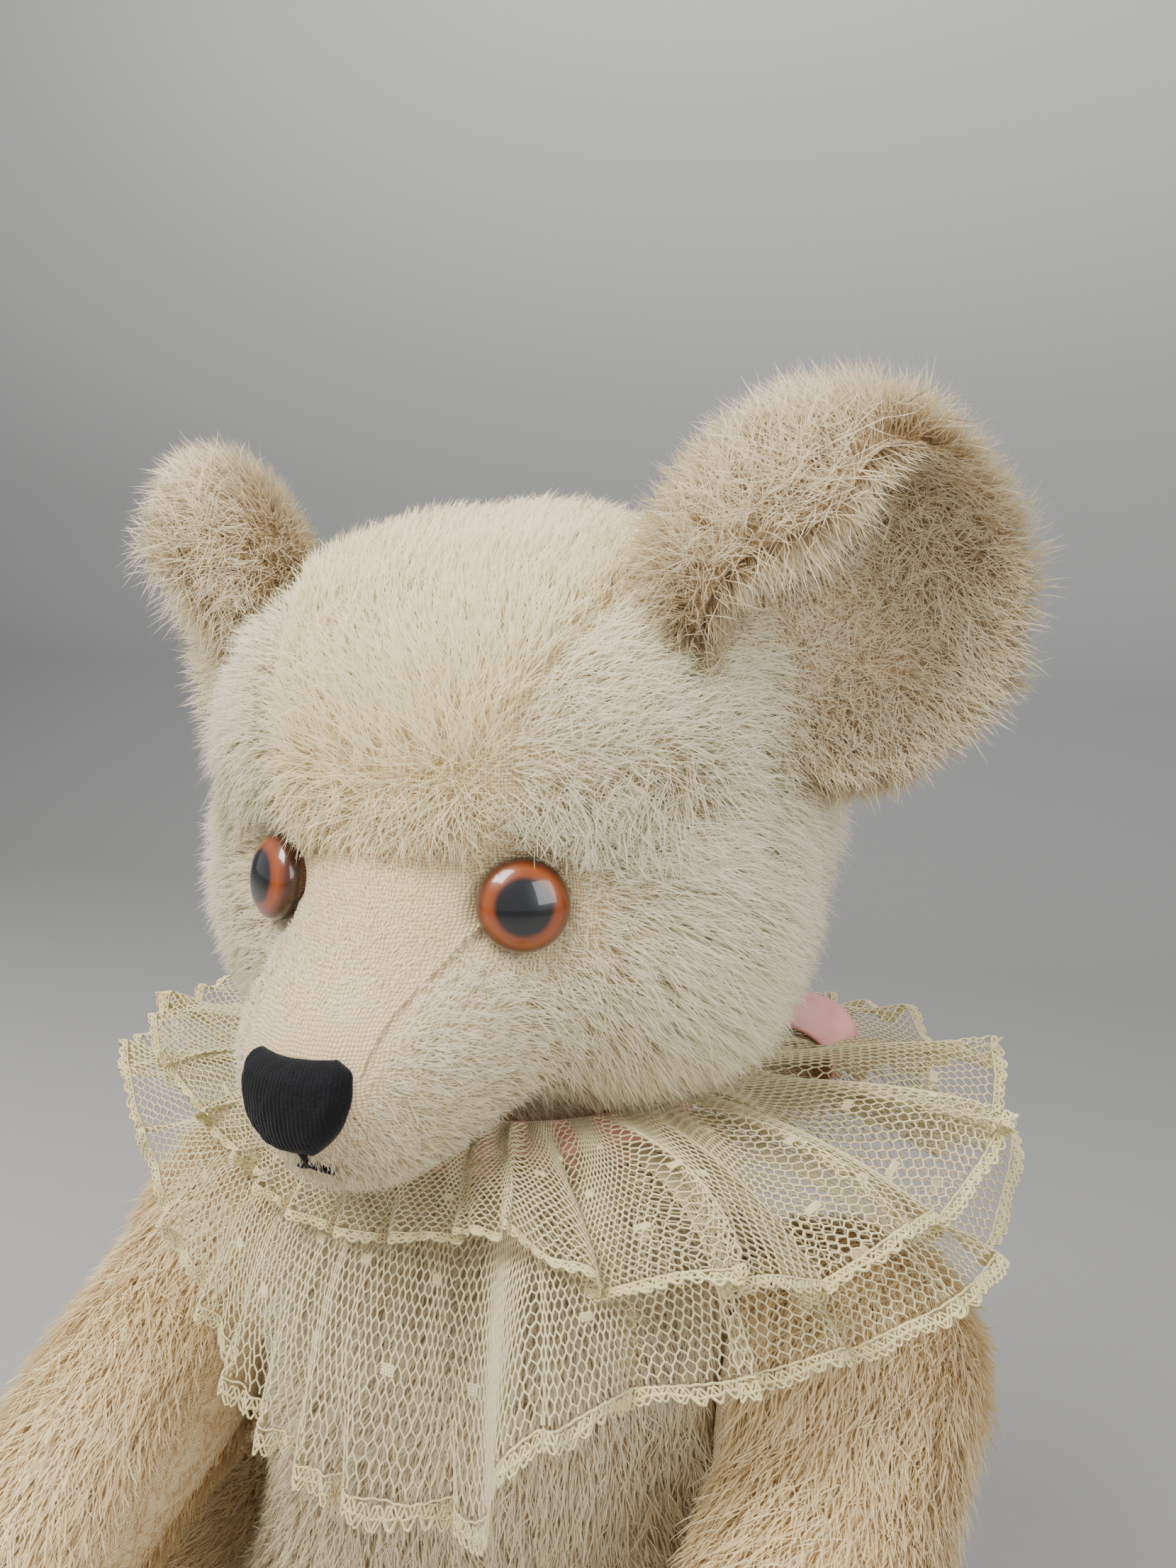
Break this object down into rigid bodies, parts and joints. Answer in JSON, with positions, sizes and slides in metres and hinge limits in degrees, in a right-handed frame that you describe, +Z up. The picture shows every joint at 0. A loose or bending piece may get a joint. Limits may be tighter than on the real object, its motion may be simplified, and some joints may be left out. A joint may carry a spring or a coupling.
{
  "type": "jointed teddy bear",
  "caption": "Seated mohair teddy bear with disc-jointed head, arms and legs, glass eyes, stitched nose, net ruff and satin neck bow.",
  "frame": {"origin": "middle of the flat underside of the seated torso", "axes": "bear faces -Y, +X is the bear's own left, +Z is up"},
  "size_m": [0.1542, 0.1882, 0.221],
  "materials": {
    "mohair": "matte",
    "stuffing": "matte",
    "hardboard": "matte",
    "zinc_steel": "satin",
    "steel_wire": "satin",
    "clear_glass": "gloss",
    "eye_back": "gloss",
    "cotton_net": "matte",
    "satin_ribbon": "satin",
    "felt_pad": "matte",
    "black_thread": "satin"
  },
  "bodies": {
    "torso": {"torso_left_skin": "mohair", "torso_right_skin": "mohair", "torso_stuffing": "stuffing", "neck_disc_lower": "hardboard", "shoulder_discs": "hardboard", "hip_discs": "hardboard", "torso_washers": "zinc_steel", "ruff_upper_lace": "cotton_net", "ruff_lower_lace": "cotton_net", "neck_ribbon": "satin_ribbon", "ribbon_bow": "satin_ribbon"},
    "head": {"head_left_side": "mohair", "head_right_side": "mohair", "head_gusset": "mohair", "head_stuffing": "stuffing", "left_ear_front": "mohair", "left_ear_back": "mohair", "right_ear_front": "mohair", "right_ear_back": "mohair", "left_eye_glass": "clear_glass", "right_eye_glass": "clear_glass", "left_eye_iris": "eye_back", "right_eye_iris": "eye_back", "left_eye_loop": "steel_wire", "right_eye_loop": "steel_wire", "nose_stitching": "black_thread", "mouth_stitch": "black_thread", "head_disc": "hardboard", "head_washer": "zinc_steel", "neck_bolt": "zinc_steel", "neck_nut": "zinc_steel"},
    "left_arm": {"left_arm_skin": "mohair", "left_paw_pad": "felt_pad", "left_arm_stuffing": "stuffing", "left_arm_disc": "hardboard", "left_arm_washer": "zinc_steel", "left_arm_bolt": "zinc_steel", "left_arm_nut": "zinc_steel"},
    "right_arm": {"right_arm_skin": "mohair", "right_paw_pad": "felt_pad", "right_arm_stuffing": "stuffing", "right_arm_disc": "hardboard", "right_arm_washer": "zinc_steel", "right_arm_bolt": "zinc_steel", "right_arm_nut": "zinc_steel"},
    "left_leg": {"left_leg_skin": "mohair", "left_foot_pad": "felt_pad", "left_leg_stuffing": "stuffing", "left_leg_disc": "hardboard", "left_leg_washer": "zinc_steel", "left_leg_bolt": "zinc_steel", "left_leg_nut": "zinc_steel"},
    "right_leg": {"right_leg_skin": "mohair", "right_foot_pad": "felt_pad", "right_leg_stuffing": "stuffing", "right_leg_disc": "hardboard", "right_leg_washer": "zinc_steel", "right_leg_bolt": "zinc_steel", "right_leg_nut": "zinc_steel"}
  },
  "joints": [
    {"name": "neck_turn", "type": "hinge", "parent": "torso", "child": "head", "pos_m": [0, 0, 0.13], "axis": [0, 0, 1], "continuous": true, "deforming": ["ruff_upper_lace", "ruff_lower_lace"]},
    {"name": "left_shoulder", "type": "hinge", "parent": "torso", "child": "left_arm", "pos_m": [0.036, 0, 0.094], "axis": [1, 0, 0], "range_deg": [-60, 4], "deforming": ["ruff_upper_lace", "ruff_lower_lace"]},
    {"name": "right_shoulder", "type": "hinge", "parent": "torso", "child": "right_arm", "pos_m": [-0.036, 0, 0.094], "axis": [1, 0, 0], "range_deg": [-60, 4], "deforming": ["ruff_upper_lace", "ruff_lower_lace"]},
    {"name": "left_hip", "type": "hinge", "parent": "torso", "child": "left_leg", "pos_m": [0.04, 0, 0.027], "axis": [1, 0, 0], "range_deg": [0, 170]},
    {"name": "right_hip", "type": "hinge", "parent": "torso", "child": "right_leg", "pos_m": [-0.04, 0, 0.027], "axis": [1, 0, 0], "range_deg": [0, 170]}
  ]
}
